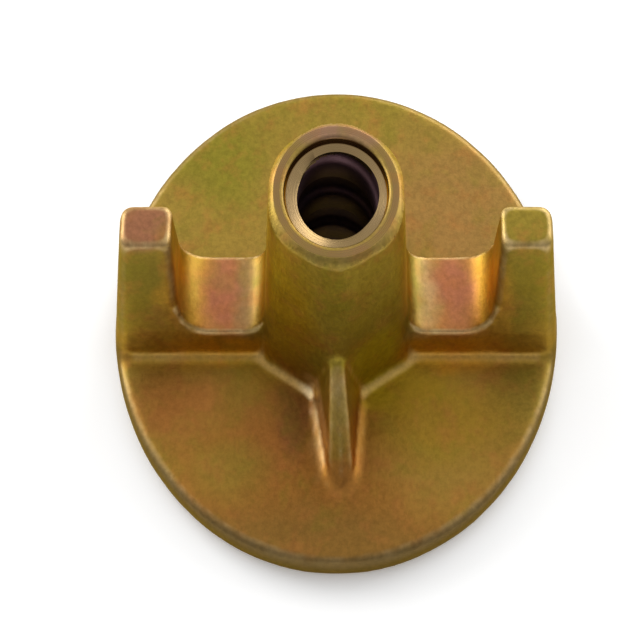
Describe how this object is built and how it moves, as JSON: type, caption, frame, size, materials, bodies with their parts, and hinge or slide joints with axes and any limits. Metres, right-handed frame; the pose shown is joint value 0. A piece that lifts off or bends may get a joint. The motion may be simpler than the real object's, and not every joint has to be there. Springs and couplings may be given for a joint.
{
  "type": "formwork wing nut",
  "caption": "Cast nut on a round bearing flange, with a tapered hexagonal boss, hammer lugs and ribs. It threads onto a formwork tie rod and clamps a panel or waling.",
  "frame": {"origin": "centre of the bore at the flange's flat back, which is the bottom centre of the part", "axes": "+Z along the bore, from the flange's back towards the boss's top; X through the lugs; Y through the ribs"},
  "size_m": [0.09, 0.09, 0.045],
  "materials": {
    "zinc_casting": "cast iron, zinc plated with a yellow iridescent chromate, running from gold to pink and olive; the boss's top is machined"
  },
  "bodies": {
    "root": {"wing_nut": "zinc_casting"}
  },
  "joints": []
}
